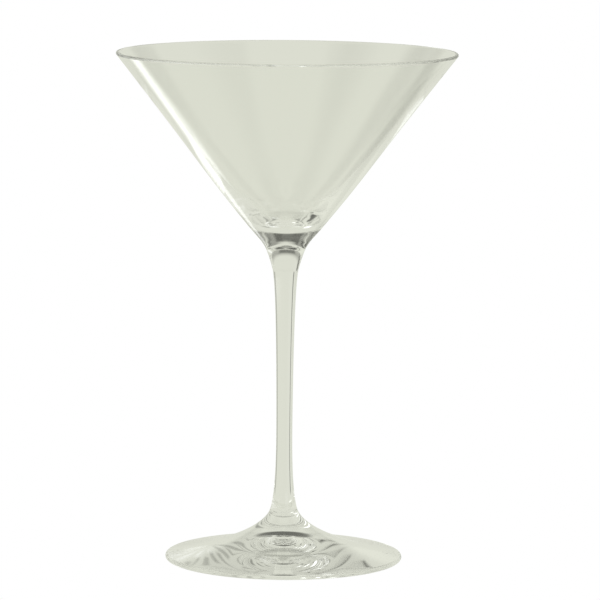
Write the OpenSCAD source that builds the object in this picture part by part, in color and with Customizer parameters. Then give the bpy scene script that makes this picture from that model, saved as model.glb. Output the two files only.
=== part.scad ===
// Stemmed martini glass in clear crystal, standing upright.
// It is made as stemware is made: a blown bowl, a drawn stem and a pressed foot,
// fused to each other while hot. Each of the three is a closed solid of its own.
// At both fused seams the upper piece ends in a shallow dome that hangs down,
// and the piece below it has a cup of the same curve, so the two meet face to face.
// Lengths are in millimetres and angles in degrees. The axis of the glass is Z,
// and the foot rests on the plane z = 0.

/* [Overall] */
// Height from the table to the top of the lip
glass_h = 174; // [150:1:230]
// Outer diameter of the bowl at the lip
rim_d = 116; // [90:1:140]
// Outer diameter of the foot
foot_d = 81; // [60:0.5:100]

/* [Bowl] */
// Height of the bowl piece, from its seam with the stem to the top of the lip
bowl_h = 74; // [60:0.5:90]
// Thickness of the wall at the lip, which is rounded over
lip_t = 1.2; // [0.8:0.05:2.5]
// Thickness of the wall where the inside floor runs into it
wall_t = 3.35; // [2:0.05:4.5]
// Thickness of the solid glass under the middle of the inside floor
floor_t = 16.3; // [13:0.1:24]
// Height over which the inside floor rounds into the wall
floor_round_h = 9.4; // [6:0.1:14]
// Lean of the inside, from the vertical, where the floor runs into the wall
floor_lean = 46.4; // [42:0.1:50]
// Height of the solid base that flares from the seam to the wall
base_h = 14.4; // [10:0.1:18]
// Diameter of the base where the wall begins
base_d = 25; // [18:0.1:30]
// How much more than its chord the wall leans where it leaves the base
base_bow = 2.3; // [0:0.1:5]
// How much more than its chord the wall leans at the lip
lip_bow = 0.7; // [-3:0.1:3]

/* [Stem] */
// Diameter of the seam between the bowl and the stem
bowl_seam_d = 8.9; // [7:0.1:12]
// Lean of the surface from the vertical at that seam
bowl_seam_lean = 15.1; // [5:0.1:25]
// Diameter of the stem at its waist, its thinnest point
waist_d = 5.5; // [4:0.1:7]
// Height of the waist above the seam between the stem and the foot
waist_up = 27; // [15:0.5:36]
// Diameter of the seam between the stem and the foot
foot_seam_d = 10.3; // [8:0.1:14]
// Lean of the surface from the vertical at that seam
foot_seam_lean = 29.8; // [20:0.1:40]
// Depth of the dome and cup at each fused seam
seam_dome = 1.2; // [0.6:0.05:2]

/* [Foot] */
// Height of the foot piece, from the table to its seam with the stem
foot_h = 16; // [12:0.1:22]
// Thickness of the rounded edge of the foot
edge_t = 1.8; // [1.2:0.1:3]
// Slope of the top of the foot at its edge
edge_slope = 7.2; // [3:0.1:12]
// Width of the flat ring on which the foot rests
ring_w = 1.5; // [1:0.1:4]
// Height of the hollow under the middle of the foot
hollow_h = 6.1; // [2:0.1:8]

/* [Curves] */
// Straight segments in each long curve
long_steps = 40; // [20:1:60]
// Straight segments in each short curve
short_steps = 16; // [8:1:24]
// Segments round the axis
round_steps = 128; // [48:8:256]

/* [Hidden] */

crystal = [0.85, 0.86, 0.81, 0.45];
// Directions, as leans from the vertical
upright = 0;
level_out = 90;
level_in = -90;

// Pulls are the lengths of a curve's two handles, as shares of its chord:
// the first is at its lower end, and the second at its upper end.
neck_pulls = [0.08, 0.108];
base_pulls = [0.6, 0.43];
wall_pulls = [0.35, 0.7];
inside_pulls = [0.16, 0.44];
floor_pulls = [0.4, 0.55];
instep_pulls = [0.521, 0.157];
ankle_pulls = [0.122, 0.527];
hollow_pulls = [0.48, 0.228];

foot_seam_z = foot_h;
bowl_seam_z = glass_h - bowl_h;
waist = [waist_d / 2, foot_seam_z + waist_up];
foot_seam = [foot_seam_d / 2, foot_seam_z];
bowl_seam = [bowl_seam_d / 2, bowl_seam_z];

base_top = [base_d / 2, bowl_seam_z + base_h];
lip_r = lip_t / 2;
lip_middle = [rim_d / 2 - lip_r, glass_h - lip_r];
wall_chord = atan2(lip_middle[0] - base_top[0], lip_middle[1] - base_top[1]);
base_lean = wall_chord + base_bow;
lip_lean = wall_chord + lip_bow;
lip_outside = lip_middle + lip_r * across(lip_lean);
lip_inside = lip_middle - lip_r * across(lip_lean);

edge_r = edge_t / 2;
edge_middle = [foot_d / 2 - edge_r, edge_r];
ring_in = foot_d / 2 - edge_r - ring_w;
instep_lean = level_in + edge_slope;
edge_top = edge_middle + edge_r * across(instep_lean);

// Unit vector that leans outward from the vertical by an angle
function along(lean) = [sin(lean), cos(lean)];

// Unit vector square to that one, on its outer side
function across(lean) = [cos(lean), -sin(lean)];

// A cubic curve from one point and lean to another
function curve(start, start_lean, end, end_lean, pulls, steps) =
    let (chord = norm(end - start),
         start_handle = start + pulls[0] * chord * along(start_lean),
         end_handle = end - pulls[1] * chord * along(end_lean))
    [for (i = [0 : steps])
        let (t = i / steps, u = 1 - t)
        u * u * u * start + 3 * u * u * t * start_handle
            + 3 * u * t * t * end_handle + t * t * t * end];

// An arc round a middle point, between two angles from the outward direction
function arc(middle, r, start, end, steps) =
    [for (i = [0 : steps])
        let (a = start + (end - start) * i / steps)
        middle + r * [cos(a), sin(a)]];

// The domed seam under a ring of the glass, from the axis out to that ring
function dome(ring) =
    let (ball_r = (ring[0] * ring[0] + seam_dome * seam_dome) / (2 * seam_dome),
         ball_middle = [0, ring[1] - seam_dome + ball_r],
         spread = asin(ring[0] / ball_r))
    arc(ball_middle, ball_r, -90, spread - 90, short_steps);

function backward(points) = [for (i = [len(points) - 1 : -1 : 0]) points[i]];

// Curves joined end to end, each without its first point, where the last one ended
function joined(curves) =
    [for (points = curves)
        for (i = [1 : len(points) - 1]) points[i]];

// Radius of an outline at a height
function radius_at(points, z) = lookup(z, [for (p = points) [p[1], p[0]]]);

// Outside of the bowl, from its seam with the stem to the lip
base_curve = curve(bowl_seam, bowl_seam_lean, base_top, base_lean, base_pulls, short_steps);
wall_curve = curve(base_top, base_lean, lip_outside, lip_lean, wall_pulls, long_steps);
lip_curve = arc(lip_middle, lip_r, -lip_lean, 180 - lip_lean, short_steps);

// Inside of the bowl, from the middle of its floor to the lip
floor_middle = [0, bowl_seam_z + floor_t];
floor_edge_z = floor_middle[1] + floor_round_h;
floor_edge = [radius_at(wall_curve, floor_edge_z) - wall_t / cos(base_lean), floor_edge_z];
floor_curve = curve(floor_middle, level_out, floor_edge, floor_lean, floor_pulls, short_steps);
inside_curve = curve(floor_edge, floor_lean, lip_inside, lip_lean, inside_pulls, long_steps);

// Outside of the stem, from its seam with the foot to its seam with the bowl
ankle_curve = curve(foot_seam, -foot_seam_lean, waist, upright, ankle_pulls, long_steps);
neck_curve = curve(waist, upright, bowl_seam, bowl_seam_lean, neck_pulls, long_steps);

// Outside of the foot, from the middle of its hollow to its seam with the stem
hollow_curve = backward(curve([ring_in, 0], level_in, [0, hollow_h], level_in, hollow_pulls, long_steps));
ring_line = [[ring_in, 0], [edge_middle[0], 0]];
edge_curve = arc(edge_middle, edge_r, -90, -instep_lean, short_steps);
instep_curve = curve(edge_top, instep_lean, foot_seam, -foot_seam_lean, instep_pulls, long_steps);

// A solid turned round the axis from an outline that starts and ends on it
module turned(outline) {
    color(crystal)
        rotate_extrude($fn = round_steps)
            polygon(outline);
}

// The blown bowl, with its solid base and its domed lower end
module bowl() {
    start = dome(bowl_seam);
    turned(concat([start[0]], joined([
        start,
        base_curve,
        wall_curve,
        lip_curve,
        backward(inside_curve),
        backward(floor_curve)
    ])));
}

// The drawn stem, cupped for the bowl at its top and domed into the foot
module stem() {
    start = dome(foot_seam);
    turned(concat([start[0]], joined([
        start,
        ankle_curve,
        neck_curve,
        backward(dome(bowl_seam))
    ])));
}

// The pressed foot, hollow underneath and cupped for the stem
module foot() {
    turned(concat([hollow_curve[0]], joined([
        hollow_curve,
        ring_line,
        edge_curve,
        instep_curve,
        backward(dome(foot_seam))
    ])));
}

bowl();
stem();
foot();
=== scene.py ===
"""Looks of a stemmed martini glass in clear crystal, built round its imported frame.

The frame holds the bowl, the stem and the foot as solids. Clear glass bends the light by the
exact slope of every surface, so each piece is turned here again as a fine surface with true
normals, on the frame's own heights and radii, and stands for its solid. The fused seams are
kept as closed faces that bend no light, as in glass that has melted together.
"""

import logging
import math
from dataclasses import dataclass
from enum import Enum
from typing import Optional, Sequence, Union

import bpy
import numpy as np
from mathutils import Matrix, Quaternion, Vector


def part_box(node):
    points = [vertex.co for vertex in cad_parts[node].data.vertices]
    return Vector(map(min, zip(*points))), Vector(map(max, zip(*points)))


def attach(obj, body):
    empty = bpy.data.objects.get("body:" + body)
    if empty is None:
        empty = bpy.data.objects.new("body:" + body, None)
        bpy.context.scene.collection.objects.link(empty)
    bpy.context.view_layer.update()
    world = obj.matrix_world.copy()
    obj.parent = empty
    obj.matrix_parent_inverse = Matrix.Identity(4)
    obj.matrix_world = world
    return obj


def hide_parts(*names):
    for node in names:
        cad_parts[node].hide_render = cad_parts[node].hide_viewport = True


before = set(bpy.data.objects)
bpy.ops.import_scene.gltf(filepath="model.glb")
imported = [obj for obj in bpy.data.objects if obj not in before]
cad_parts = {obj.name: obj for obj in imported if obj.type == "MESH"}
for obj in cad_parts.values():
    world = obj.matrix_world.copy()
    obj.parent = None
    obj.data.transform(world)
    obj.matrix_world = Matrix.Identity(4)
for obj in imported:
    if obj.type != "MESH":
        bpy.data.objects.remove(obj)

MM = 0.001
BODY = "root"

# Both fused seams: their leans from the vertical in degrees, and the upper one's radius
FOOT_SEAM_LEAN = 29.8
BOWL_SEAM_LEAN = 15.1
BOWL_SEAM_RADIUS = 4.45 * MM

LOG = logging.getLogger("martini_glass")

Colour = tuple[float, float, float]
Pair = tuple[float, float]


# ---------------------------------------------------------------------------------------------
# Outlines: half sections in the plane of radius and height, turned round the axis
# ---------------------------------------------------------------------------------------------


class Face(Enum):
    """What a stretch of an outline is on the finished piece."""

    SKIN = 0
    SEAM = 1


class Lean(float, Enum):
    """Directions of travel along an outline, in degrees from straight up, outward positive."""

    UP = 0.0
    OUT = 90.0
    IN = -90.0


def along(lean: float) -> np.ndarray:
    """Unit vector of radius and height that leans outward from straight up, in degrees."""
    return np.array([math.sin(math.radians(lean)), math.cos(math.radians(lean))])


def across(lean: float) -> np.ndarray:
    """Unit vector square to along(), on its outer side."""
    return np.array([math.cos(math.radians(lean)), -math.sin(math.radians(lean))])


@dataclass
class Stretch:
    """A smooth stretch of an outline: its points, its directions there and its kind of face."""

    points: np.ndarray
    directions: np.ndarray
    face: Face = Face.SKIN

    @classmethod
    def curve(cls, start: np.ndarray, start_lean: float, end: np.ndarray, end_lean: float,
              pulls: Pair, steps: int) -> "Stretch":
        """A cubic curve between two points.

        Args:
            start: First point, as radius and height.
            start_lean: Lean of the curve there, in degrees.
            end: Last point.
            end_lean: Lean of the curve there.
            pulls: Lengths of the two handles, as shares of the chord.
            steps: How many straight pieces stand for the curve.

        Returns:
            The stretch from start to end.
        """
        start, end = np.array(start, float), np.array(end, float)
        chord = np.linalg.norm(end - start)
        first = pulls[0] * chord * along(start_lean)
        last = pulls[1] * chord * along(end_lean)
        t = np.linspace(0.0, 1.0, steps + 1)[:, None]
        u = 1.0 - t
        middle = end - last - start - first
        points = u**3 * start + 3 * u * u * t * (start + first) + 3 * u * t * t * (end - last) + t**3 * end
        slopes = u * u * first + 2 * u * t * middle + t * t * last
        return cls(points, slopes / np.linalg.norm(slopes, axis=1, keepdims=True))

    @classmethod
    def arc(cls, middle: np.ndarray, radius: float, start: float, end: float, steps: int,
            face: Face = Face.SKIN) -> "Stretch":
        """Part of a circle, run anticlockwise.

        Args:
            middle: Centre of the circle, as radius and height.
            radius: Radius of the circle.
            start: Angle of the first point, in degrees from straight outward.
            end: Angle of the last point.
            steps: How many straight pieces stand for the arc.
            face: What the arc is on the piece.

        Returns:
            The stretch from start to end.
        """
        angles = np.radians(np.linspace(start, end, steps + 1))
        spokes = np.stack([np.cos(angles), np.sin(angles)], axis=1)
        turns = np.stack([-np.sin(angles), np.cos(angles)], axis=1)
        return cls(np.array(middle, float) + radius * spokes, turns, face)

    @classmethod
    def line(cls, start: np.ndarray, end: np.ndarray, steps: int) -> "Stretch":
        """A straight stretch.

        Args:
            start: First point, as radius and height.
            end: Last point.
            steps: How many pieces it is cut into.

        Returns:
            The stretch from start to end.
        """
        t = np.linspace(0.0, 1.0, steps + 1)[:, None]
        start, end = np.array(start, float), np.array(end, float)
        heading = (end - start) / np.linalg.norm(end - start)
        return cls(start + t * (end - start), np.repeat(heading[None, :], steps + 1, axis=0))

    def backward(self) -> "Stretch":
        """The same stretch, run from its end to its start."""
        return Stretch(self.points[::-1], -self.directions[::-1], self.face)

    def radius_at(self, height: float) -> float:
        """Radius of a rising stretch at a height."""
        return float(np.interp(height, self.points[:, 1], self.points[:, 0]))


@dataclass(frozen=True)
class Seam:
    """A fused seam: the upper piece ends in a shallow dome that the lower piece cups."""

    radius: float
    height: float
    lean: float
    dome: float
    steps: int = 16

    @property
    def ring(self) -> np.ndarray:
        """The seam's outer edge, as radius and height."""
        return np.array([self.radius, self.height])

    def cap(self) -> Stretch:
        """The dome of the seam.

        Returns:
            The stretch from the axis out to the seam's edge.
        """
        ball = (self.radius**2 + self.dome**2) / (2.0 * self.dome)
        middle = np.array([0.0, self.height - self.dome + ball])
        spread = math.degrees(math.asin(self.radius / ball))
        cap = Stretch.arc(middle, ball, -90.0, spread - 90.0, self.steps, Face.SEAM)
        cap.points[0, 0] = 0.0
        cap.points[-1] = self.ring
        return cap


@dataclass
class Turning:
    """A closed solid turned round the axis from stretches that run anticlockwise from it."""

    name: str
    stretches: list[Stretch]
    segments: int = 256

    def _normals(self, directions: np.ndarray, angles: np.ndarray) -> np.ndarray:
        """Normals round the rings of one stretch.

        Args:
            directions: The stretch's directions, as radius and height.
            angles: Angles round the axis.

        Returns:
            An array of rings by angles by three.
        """
        out, rise = directions[:, 1:], -directions[:, :1]
        x = out * np.cos(angles)[None, :]
        y = out * np.sin(angles)[None, :]
        return np.stack([x, y, np.broadcast_to(rise, x.shape)], axis=2)

    def _vertices(self, outline: np.ndarray, angles: np.ndarray) -> np.ndarray:
        """Every vertex of the piece.

        Args:
            outline: Points of the outline, which starts and ends on the axis.
            angles: Angles round the axis.

        Returns:
            The point where the outline starts, the rings in order, and the point where it ends.
        """
        radius, height = outline[1:-1, :1], outline[1:-1, 1:]
        x = radius * np.cos(angles)
        y = radius * np.sin(angles)
        rings = np.stack([x, y, np.broadcast_to(height, x.shape)], axis=2)
        first, last = (0.0, 0.0, outline[0, 1]), (0.0, 0.0, outline[-1, 1])
        return np.concatenate([[first], rings.reshape(-1, 3), [last]])

    def _band(self, ring: int, last: int, below: np.ndarray,
              above: np.ndarray) -> tuple[np.ndarray, np.ndarray]:
        """The faces between two rings, as triangles where the band closes on the axis.

        Args:
            ring: Number of the lower ring. Ring 0 is the first point on the axis.
            last: Number of the last point on the axis.
            below: Normals round the lower ring.
            above: Normals round the upper ring.

        Returns:
            The faces' vertices, and the normal at each of their corners.
        """
        here = np.arange(self.segments)
        onward = (here + 1) % self.segments
        low, high = 1 + (ring - 1) * self.segments, 1 + ring * self.segments
        if ring == 0:
            faces = [np.zeros(self.segments, int), high + onward, high + here]
            corners = [below[here], above[onward], above[here]]
        elif ring == last - 1:
            faces = [low + here, low + onward, np.full(self.segments, high)]
            corners = [below[here], below[onward], above[here]]
        else:
            faces = [low + here, low + onward, high + onward, high + here]
            corners = [below[here], below[onward], above[onward], above[here]]
        return np.stack(faces, axis=1), np.stack(corners, axis=1)

    def build(self) -> bpy.types.Object:
        """Makes the mesh, with a material index for each kind of face and true normals.

        Returns:
            The new object, linked to the scene.
        """
        angles = np.linspace(0.0, 2.0 * math.pi, self.segments, endpoint=False)
        outline = np.concatenate([self.stretches[0].points[:1]] + [s.points[1:] for s in self.stretches])
        faces: list[Sequence[int]] = []
        corners: list[np.ndarray] = []
        kinds: list[int] = []
        ring = 0
        for stretch in self.stretches:
            normals = self._normals(stretch.directions, angles)
            for below, above in zip(normals[:-1], normals[1:]):
                band, band_corners = self._band(ring, len(outline) - 1, below, above)
                faces.extend(band.tolist())
                corners.append(band_corners.reshape(-1, 3))
                kinds.extend([stretch.face.value] * self.segments)
                ring += 1
        mesh = bpy.data.meshes.new(self.name)
        mesh.from_pydata(self._vertices(outline, angles).tolist(), [], faces)
        mesh.polygons.foreach_set("material_index", kinds)
        mesh.polygons.foreach_set("use_smooth", [True] * len(kinds))
        mesh.normals_split_custom_set(np.concatenate(corners).tolist())
        mesh.update()
        piece = bpy.data.objects.new(self.name, mesh)
        bpy.context.scene.collection.objects.link(piece)
        return piece


# ---------------------------------------------------------------------------------------------
# Shader nodes
# ---------------------------------------------------------------------------------------------


Input = Union[float, Sequence[float], str, "Socket"]


class Socket:
    """An output of a node tree, on which arithmetic adds the nodes that work it out."""

    MATH = {"VALUE": "ShaderNodeMath", "VECTOR": "ShaderNodeVectorMath"}

    def __init__(self, graph: "Graph", output: bpy.types.NodeSocket) -> None:
        """Wraps one output of a graph's node."""
        self.graph = graph
        self.output = output

    def _combined(self, operation: str, first: Input, second: Input) -> "Socket":
        """One arithmetic step.

        Args:
            operation: Name of the step, as the Math and Mix nodes know it.
            first: Left operand.
            second: Right operand.

        Returns:
            The result, of the same type as this socket.
        """
        if self.output.type == "RGBA":
            return self.graph.mixed(1.0, first, second, operation)
        node = self.graph.add(self.MATH[self.output.type], {"operation": operation}, {0: first, 1: second})
        return Socket(self.graph, node.outputs[0])

    def __add__(self, other: Input) -> "Socket":
        """This socket plus a number or another socket."""
        return self._combined("ADD", self, other)

    __radd__ = __add__

    def __sub__(self, other: Input) -> "Socket":
        """This socket less a number or another socket."""
        return self._combined("SUBTRACT", self, other)

    def __rsub__(self, other: Input) -> "Socket":
        """A number less this socket."""
        return self._combined("SUBTRACT", other, self)

    def __mul__(self, other: Input) -> "Socket":
        """This socket times a number or another socket."""
        return self._combined("MULTIPLY", self, other)

    __rmul__ = __mul__

    def size(self) -> "Socket":
        """This value without its sign."""
        return self.graph.read("ShaderNodeMath", "Value", {"operation": "ABSOLUTE"}, {0: self})

    def between(self, low: float, high: float) -> "Socket":
        """Goes smoothly from 0 to 1 as this value goes from low to high.

        Args:
            low: Value at which the result leaves 0.
            high: Value at which the result reaches 1. It may lie below low.

        Returns:
            The share, from 0 to 1.
        """
        return self.graph.read("ShaderNodeMapRange", "Result", {"interpolation_type": "SMOOTHSTEP"},
                               {"Value": self, "From Min": low, "From Max": high})


class Graph:
    """The node tree of a material or of the world, emptied and ready to fill."""

    def __init__(self, owner: Union[bpy.types.Material, bpy.types.World]) -> None:
        """Empties the owner's node tree.

        Args:
            owner: The material or world that the tree belongs to.
        """
        owner.use_nodes = True
        self.tree = owner.node_tree
        self.tree.nodes.clear()

    def add(self, kind: str, settings: Optional[dict] = None,
            inputs: Optional[dict] = None) -> bpy.types.Node:
        """Adds one node.

        Args:
            kind: The node's type.
            settings: Properties to set before its sockets are touched.
            inputs: Values or sockets for its inputs, by name or number.

        Returns:
            The node.
        """
        node = self.tree.nodes.new(kind)
        for name, value in (settings or {}).items():
            setattr(node, name, value)
        for key, value in (inputs or {}).items():
            if isinstance(value, Socket):
                self.tree.links.new(value.output, node.inputs[key])
            else:
                node.inputs[key].default_value = value
        return node

    def read(self, kind: str, output: str, settings: Optional[dict] = None,
             inputs: Optional[dict] = None) -> Socket:
        """Adds one node and wraps one of its outputs.

        Args:
            kind: The node's type.
            output: Name of the output that is wanted.
            settings: Properties to set before its sockets are touched.
            inputs: Values or sockets for its inputs, by name or number.

        Returns:
            That output.
        """
        return Socket(self, self.add(kind, settings, inputs).outputs[output])

    def mixed(self, share: Input, first: Input, second: Input, blend: str = "MIX") -> Socket:
        """Mixes two colours.

        Args:
            share: How much of the blend shows, from 0 to 1.
            first: Colour under the blend.
            second: Colour of the blend.
            blend: The Mix node's blend type.

        Returns:
            The mixed colour.
        """
        node = self.add("ShaderNodeMix", {"data_type": "RGBA", "blend_type": blend},
                        {0: share, 6: first, 7: second})
        return Socket(self, node.outputs[2])

    def end(self, surface: Socket, kind: str = "ShaderNodeOutputMaterial") -> None:
        """Puts the surface's shader on the output node."""
        self.add(kind, inputs={"Surface": surface})


def opaque(colour: Colour) -> tuple[float, float, float, float]:
    """A colour with full alpha."""
    return (*colour, 1.0)


# ---------------------------------------------------------------------------------------------
# Finishes
# ---------------------------------------------------------------------------------------------


class Working(Enum):
    """How the hot glass was worked, which sets the way its faint marks run."""

    BLOWN = "blown"
    DRAWN = "drawn"
    PRESSED = "pressed"


@dataclass(frozen=True)
class Crystal:
    """Polished clear crystal, with the faint marks of the way in which it was worked.

    Scales are in marks to the metre. The polish, the smears and the scuffs are shares of
    roughness, and worn gives the heights between which the scuffs of standing fade out.
    """

    name: str
    working: Working
    tint: Colour = (0.985, 0.99, 0.975)
    refraction: float = 1.52
    mark_depth: float = 0.0012 * MM
    polish: float = 0.003
    smear: float = 0.006
    smear_scale: float = 45.0
    smear_edges: Pair = (0.55, 0.8)
    scuff: float = 0.08
    scuff_scale: float = 900.0
    scuff_edges: Pair = (0.4, 0.6)
    worn: Optional[Pair] = None

    STRETCH = {
        Working.BLOWN: (60.0, 60.0, 14.0),
        Working.DRAWN: (600.0, 600.0, 9.0),
        Working.PRESSED: (90.0, 90.0, 90.0),
    }

    def _marks(self, graph: Graph, place: Socket) -> Socket:
        """Height of the marks left by working the glass.

        Args:
            graph: The material's graph.
            place: Position on the piece, in metres.

        Returns:
            A height from 0 to 1.
        """
        stretched = place * self.STRETCH[self.working]
        return graph.read("ShaderNodeTexNoise", "Fac", {"noise_dimensions": "3D"},
                          {"Vector": stretched, "Scale": 1.0, "Detail": 1.5, "Roughness": 0.4})

    def _haze(self, graph: Graph, place: Socket) -> Socket:
        """Roughness of the polish, with smears of handling and the wear of the resting ring.

        Args:
            graph: The material's graph.
            place: Position on the piece, in metres.

        Returns:
            The roughness.
        """
        smears = graph.read("ShaderNodeTexNoise", "Fac", None,
                            {"Vector": place, "Scale": self.smear_scale, "Detail": 3.0, "Roughness": 0.6})
        haze = self.polish + self.smear * smears.between(*self.smear_edges)
        if self.worn is not None:
            height = graph.read("ShaderNodeSeparateXYZ", "Z", None, {"Vector": place})
            scuffs = graph.read("ShaderNodeTexNoise", "Fac", None,
                                {"Vector": place, "Scale": self.scuff_scale, "Detail": 4.0,
                                 "Roughness": 0.7})
            low, high = self.worn
            haze = haze + self.scuff * height.between(high, low) * scuffs.between(*self.scuff_edges)
        return haze

    def material(self) -> bpy.types.Material:
        """Makes the finish.

        Returns:
            The finished material.
        """
        made = bpy.data.materials.new(self.name)
        graph = Graph(made)
        place = graph.read("ShaderNodeTexCoord", "Object")
        marks = self._marks(graph, place)
        bump = graph.read("ShaderNodeBump", "Normal", None,
                          {"Strength": 1.0, "Distance": self.mark_depth, "Height": marks})
        glass = graph.read("ShaderNodeBsdfPrincipled", "BSDF", None, {
            "Base Color": opaque(self.tint),
            "Roughness": self._haze(graph, place),
            "IOR": self.refraction,
            "Transmission Weight": 1.0,
            "Normal": bump,
        })
        graph.end(glass)
        return made


@dataclass(frozen=True)
class Weld:
    """The face inside a fused seam, where glass has melted into glass and light goes straight on."""

    name: str = "fused_seam"

    def material(self) -> bpy.types.Material:
        """Makes the finish.

        Returns:
            The finished material.
        """
        made = bpy.data.materials.new(self.name)
        graph = Graph(made)
        graph.end(graph.read("ShaderNodeBsdfTransparent", "BSDF", None, {"Color": opaque((1.0, 1.0, 1.0))}))
        return made


def dress(piece: bpy.types.Object, skin: Crystal, weld: Weld) -> None:
    """Gives a piece its skin, and its seam faces the weld, in the order that Face numbers them."""
    piece.data.materials.append(skin.material())
    piece.data.materials.append(bpy.data.materials.get(weld.name) or weld.material())


# ---------------------------------------------------------------------------------------------
# The three pieces of the glass
# ---------------------------------------------------------------------------------------------


@dataclass
class Bowl:
    """The blown bowl: a solid base that flares into a thin conical wall with a rounded lip."""

    seam: Seam
    rim_radius: float
    rim_height: float
    lip_thickness: float = 1.2 * MM
    wall_thickness: float = 3.35 * MM
    floor_thickness: float = 16.3 * MM
    floor_round_height: float = 9.4 * MM
    base_height: float = 14.4 * MM
    base_radius: float = 12.5 * MM
    base_bow: float = 2.3
    lip_bow: float = 0.7
    floor_lean: float = 46.4
    base_pulls: Pair = (0.6, 0.43)
    wall_pulls: Pair = (0.35, 0.7)
    inside_pulls: Pair = (0.16, 0.44)
    floor_pulls: Pair = (0.4, 0.55)
    base_steps: int = 40
    wall_steps: int = 72
    lip_steps: int = 20
    finish: Crystal = Crystal("blown_crystal", Working.BLOWN)

    def outline(self) -> list[Stretch]:
        """The half section of the bowl.

        Returns:
            The stretches from the middle of the seam round to the middle of the inside floor.
        """
        base_top = np.array([self.base_radius, self.seam.height + self.base_height])
        lip = self.lip_thickness / 2.0
        lip_middle = np.array([self.rim_radius - lip, self.rim_height - lip])
        run, rise = lip_middle - base_top
        chord = math.degrees(math.atan2(run, rise))
        base_lean, lip_lean = chord + self.base_bow, chord + self.lip_bow
        outside, inside = lip_middle + lip * across(lip_lean), lip_middle - lip * across(lip_lean)
        base = Stretch.curve(self.seam.ring, self.seam.lean, base_top, base_lean, self.base_pulls,
                             self.base_steps)
        wall = Stretch.curve(base_top, base_lean, outside, lip_lean, self.wall_pulls, self.wall_steps)
        rim = Stretch.arc(lip_middle, lip, -lip_lean, 180.0 - lip_lean, self.lip_steps)
        floor_middle = np.array([0.0, self.seam.height + self.floor_thickness])
        edge_height = floor_middle[1] + self.floor_round_height
        edge_radius = wall.radius_at(edge_height) - self.wall_thickness / math.cos(math.radians(base_lean))
        edge = np.array([edge_radius, edge_height])
        floor = Stretch.curve(floor_middle, Lean.OUT, edge, self.floor_lean, self.floor_pulls,
                              self.base_steps)
        inner = Stretch.curve(edge, self.floor_lean, inside, lip_lean, self.inside_pulls, self.wall_steps)
        return [self.seam.cap(), base, wall, rim, inner.backward(), floor.backward()]

    def build(self) -> bpy.types.Object:
        """Makes, dresses and places the bowl.

        Returns:
            The finished piece.
        """
        piece = Turning("crystal_bowl", self.outline()).build()
        dress(piece, self.finish, Weld())
        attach(piece, BODY)
        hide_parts("bowl")
        return piece


@dataclass
class Stem:
    """The drawn stem, waisted, domed into the foot and cupped for the bowl."""

    foot_seam: Seam
    bowl_seam: Seam
    waist_radius: float = 2.75 * MM
    waist_rise: float = 27.0 * MM
    ankle_pulls: Pair = (0.122, 0.527)
    neck_pulls: Pair = (0.08, 0.108)
    steps: int = 60
    finish: Crystal = Crystal("drawn_crystal", Working.DRAWN)

    def outline(self) -> list[Stretch]:
        """The half section of the stem.

        Returns:
            The stretches from the middle of the lower seam round to the middle of the upper.
        """
        waist = np.array([self.waist_radius, self.foot_seam.height + self.waist_rise])
        ankle = Stretch.curve(self.foot_seam.ring, -self.foot_seam.lean, waist, Lean.UP,
                              self.ankle_pulls, self.steps)
        neck = Stretch.curve(waist, Lean.UP, self.bowl_seam.ring, self.bowl_seam.lean,
                             self.neck_pulls, self.steps)
        return [self.foot_seam.cap(), ankle, neck, self.bowl_seam.cap().backward()]

    def build(self) -> bpy.types.Object:
        """Makes, dresses and places the stem.

        Returns:
            The finished piece.
        """
        piece = Turning("crystal_stem", self.outline()).build()
        dress(piece, self.finish, Weld())
        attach(piece, BODY)
        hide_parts("stem")
        return piece


@dataclass
class Foot:
    """The pressed foot: a thin disc that rises to the stem, hollowed underneath."""

    seam: Seam
    radius: float
    rest_height: float
    edge_thickness: float = 1.8 * MM
    edge_slope: float = 7.2
    ring_width: float = 1.5 * MM
    hollow_height: float = 6.1 * MM
    instep_pulls: Pair = (0.521, 0.157)
    hollow_pulls: Pair = (0.48, 0.228)
    hollow_steps: int = 72
    ring_steps: int = 4
    edge_steps: int = 24
    instep_steps: int = 80
    finish: Crystal = Crystal("pressed_crystal", Working.PRESSED, worn=(0.0, 0.3 * MM))

    def outline(self) -> list[Stretch]:
        """The half section of the foot.

        Returns:
            The stretches from the middle of the hollow round to the middle of the seam.
        """
        edge = self.edge_thickness / 2.0
        edge_middle = np.array([self.radius - edge, self.rest_height + edge])
        ring_in = np.array([edge_middle[0] - self.ring_width, self.rest_height])
        hollow_middle = np.array([0.0, self.rest_height + self.hollow_height])
        lean = Lean.IN + self.edge_slope
        edge_top = edge_middle + edge * across(lean)
        ring_out = np.array([edge_middle[0], self.rest_height])
        hollow = Stretch.curve(ring_in, Lean.IN, hollow_middle, Lean.IN, self.hollow_pulls,
                               self.hollow_steps)
        ring = Stretch.line(ring_in, ring_out, self.ring_steps)
        rim = Stretch.arc(edge_middle, edge, -90.0, -lean, self.edge_steps)
        instep = Stretch.curve(edge_top, lean, self.seam.ring, -self.seam.lean, self.instep_pulls,
                               self.instep_steps)
        return [hollow.backward(), ring, rim, instep, self.seam.cap().backward()]

    def build(self) -> bpy.types.Object:
        """Makes, dresses and places the foot.

        Returns:
            The finished piece.
        """
        piece = Turning("crystal_foot", self.outline()).build()
        dress(piece, self.finish, Weld())
        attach(piece, BODY)
        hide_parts("foot")
        return piece


# ---------------------------------------------------------------------------------------------
# Studio
# ---------------------------------------------------------------------------------------------


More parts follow.
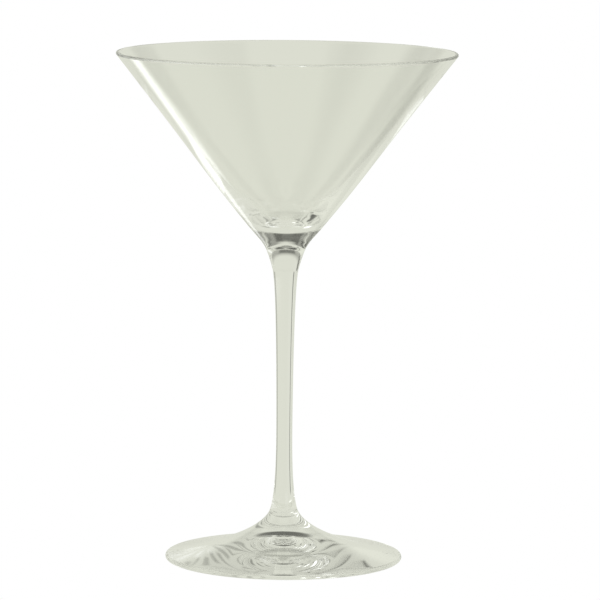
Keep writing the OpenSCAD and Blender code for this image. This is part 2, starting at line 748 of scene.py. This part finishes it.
@dataclass(frozen=True)
class Patch:
    """A part of the room that the glass sees in one direction: a window, a wall or a dark corner.

    Angles are in degrees. Azimuth starts straight behind the glass and grows to the right, and
    elevation is above the horizon. Soft is the width of the patch's faded edge.
    """

    name: str
    azimuth: float
    elevation: float
    width: float
    height: float
    colour: Colour
    soft: float = 6.0

    def laid_over(self, graph: Graph, room: Input, azimuth: Socket, elevation: Socket) -> Socket:
        """Lays the patch over the room's colour.

        Args:
            graph: The world's graph.
            room: Colour of the room so far.
            azimuth: Azimuth of the direction that is looked in.
            elevation: Elevation of that direction.

        Returns:
            The room's colour with the patch in it.
        """
        across_patch = self._inside(azimuth - self.azimuth, self.width)
        up_patch = self._inside(elevation - self.elevation, self.height)
        return graph.mixed(across_patch * up_patch, room, opaque(self.colour))

    def _inside(self, away: Socket, full: float) -> Socket:
        """Goes from 0 outside the patch to 1 inside it, along one angle.

        Args:
            away: Angle from the patch's middle.
            full: The patch's size along that angle.

        Returns:
            The share, from 0 to 1.
        """
        return away.size().between((full + self.soft) / 2.0, (full - self.soft) / 2.0)


def grey(light: float, warmth: float = 1.0) -> Colour:
    """A near neutral of the room, faintly yellow green as its walls are, at a linear light."""
    return (light * 0.985, light, light * (1.0 - 0.115 * warmth))


# Name, azimuth, elevation, width, height, colour and soft edge of each patch. A later patch is
# laid over the ones before it.
ROOM = (
    Patch("ceiling", 0.0, 78.0, 250.0, 44.0, grey(0.34), 16.0),
    Patch("ceiling_left", -82.0, 74.0, 60.0, 34.0, grey(0.06), 14.0),
    Patch("ceiling_right", 66.0, 76.0, 60.0, 28.0, grey(0.06), 12.0),
    Patch("upper_wall", 0.0, 33.0, 100.0, 26.0, grey(0.35), 8.0),
    Patch("beam", -4.0, 42.0, 40.0, 36.0, grey(0.12), 6.0),
    Patch("upper_left_corner", -55.0, 27.0, 20.0, 26.0, grey(0.1), 8.0),
    Patch("left_side", -120.0, -5.0, 90.0, 50.0, grey(0.8), 16.0),
    Patch("right_side", 112.0, -14.0, 64.0, 30.0, grey(1.0, 0.4), 12.0),
    Patch("right_window", 150.0, 10.0, 30.0, 16.0, grey(1.4, 0.3), 8.0),
    Patch("table_light", -28.0, -30.0, 14.0, 10.0, grey(2.0, 0.2), 6.0),
    Patch("table_shade", 32.0, -33.0, 18.0, 13.0, grey(0.35), 6.0),
    Patch("left_post", -32.0, -6.0, 5.0, 26.0, grey(0.2), 3.0),
    Patch("right_shade", 58.0, -6.0, 20.0, 30.0, grey(0.4), 6.0),
)


@dataclass
class Studio:
    """A white sweep and table, the room that the glass reflects and bends, and the camera."""

    camera_distance: float = 1.5
    camera_height: float = 0.284
    camera_dip: float = 7.482
    camera_roll: float = 0.45
    sensor_width: float = 36.0
    focal_length: float = 266.2
    shift: Pair = (0.0245, 0.01138)
    white: Colour = (1.0, 1.0, 1.0)
    walls: Colour = grey(0.73)
    floor_size: float = 4.0
    bounces: int = 128
    room: Sequence[Patch] = ROOM

    def camera(self) -> None:
        """Stands the camera in front of the glass, looking slightly down on it."""
        lens = bpy.data.cameras.new("camera")
        lens.sensor_width = self.sensor_width
        lens.lens = self.focal_length
        lens.shift_x, lens.shift_y = self.shift
        lens.clip_start, lens.clip_end = 0.05, 100.0
        camera = bpy.data.objects.new("camera", lens)
        dip = math.radians(self.camera_dip)
        level = Vector((0.0, math.cos(dip), -math.sin(dip))).to_track_quat("-Z", "Y")
        camera.rotation_mode = "QUATERNION"
        camera.rotation_quaternion = level @ Quaternion((0.0, 0.0, 1.0), math.radians(self.camera_roll))
        camera.location = (0.0, -self.camera_distance, self.camera_height)
        bpy.context.scene.collection.objects.link(camera)
        bpy.context.scene.camera = camera

    def sweep(self) -> None:
        """Sets the world: a white sweep for the camera, and the room round it for the glass."""
        world = bpy.data.worlds.new("studio")
        bpy.context.scene.world = world
        graph = Graph(world)
        heading = graph.read("ShaderNodeTexCoord", "Generated")
        parts = graph.add("ShaderNodeSeparateXYZ", None, {"Vector": heading})
        x, y, z = (Socket(graph, parts.outputs[axis]) for axis in "XYZ")
        turn = math.degrees(1.0)
        azimuth = turn * graph.read("ShaderNodeMath", "Value", {"operation": "ARCTAN2"}, {0: x, 1: y})
        elevation = turn * graph.read("ShaderNodeMath", "Value", {"operation": "ARCSINE"}, {0: z})
        room: Input = opaque(self.walls)
        for patch in self.room:
            room = patch.laid_over(graph, room, azimuth, elevation)
        direct = graph.read("ShaderNodeLightPath", "Is Camera Ray")
        seen = graph.mixed(direct, room, opaque(self.white))
        light = graph.read("ShaderNodeBackground", "Background", None, {"Color": seen})
        graph.end(light, "ShaderNodeOutputWorld")

    def floor(self) -> None:
        """Lays the white table. Only the camera sees it: the glass sees the room's light there."""
        half = self.floor_size / 2.0
        corners = [(-half, -half, 0), (half, -half, 0), (half, half, 0), (-half, half, 0)]
        mesh = bpy.data.meshes.new("table")
        mesh.from_pydata(corners, [], [(0, 1, 2, 3)])
        top = bpy.data.materials.new("table_top")
        graph = Graph(top)
        graph.end(graph.read("ShaderNodeEmission", "Emission", None, {"Color": opaque(self.white)}))
        mesh.materials.append(top)
        table = bpy.data.objects.new("table", mesh)
        bpy.context.scene.collection.objects.link(table)
        table.visible_glossy = table.visible_transmission = False
        table.visible_diffuse = table.visible_shadow = False

    def rays(self) -> None:
        """Lets light go all the way through thick glass, and shows colours plainly."""
        scene = bpy.context.scene
        scene.view_settings.view_transform = "Standard"
        cycles = scene.cycles
        cycles.max_bounces = self.bounces
        cycles.transmission_bounces = self.bounces
        cycles.glossy_bounces = self.bounces
        cycles.transparent_max_bounces = self.bounces
        cycles.caustics_reflective = True
        cycles.caustics_refractive = True
        cycles.blur_glossy = 0.0

    def build(self) -> None:
        """Sets up the whole studio."""
        self.camera()
        self.sweep()
        self.floor()
        self.rays()


def main() -> None:
    """Builds the glass and the studio."""
    logging.basicConfig(level=logging.INFO, format="%(message)s")
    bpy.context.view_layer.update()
    bowl_low, bowl_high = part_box("bowl")
    stem_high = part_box("stem")[1]
    foot_low, foot_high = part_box("foot")
    dome = stem_high.z - bowl_low.z
    foot_seam = Seam(radius=stem_high.x, height=foot_high.z, lean=FOOT_SEAM_LEAN, dome=dome)
    bowl_seam = Seam(radius=BOWL_SEAM_RADIUS, height=stem_high.z, lean=BOWL_SEAM_LEAN, dome=dome)
    makers = [
        Bowl(seam=bowl_seam, rim_radius=bowl_high.x, rim_height=bowl_high.z),
        Stem(foot_seam=foot_seam, bowl_seam=bowl_seam),
        Foot(seam=foot_seam, radius=foot_high.x, rest_height=foot_low.z),
    ]
    for maker in makers:
        piece = maker.build()
        LOG.info("%s: %d faces, %s", piece.name, len(piece.data.polygons), tuple(piece.dimensions))
    Studio().build()


if __name__ == "__main__":
    main()
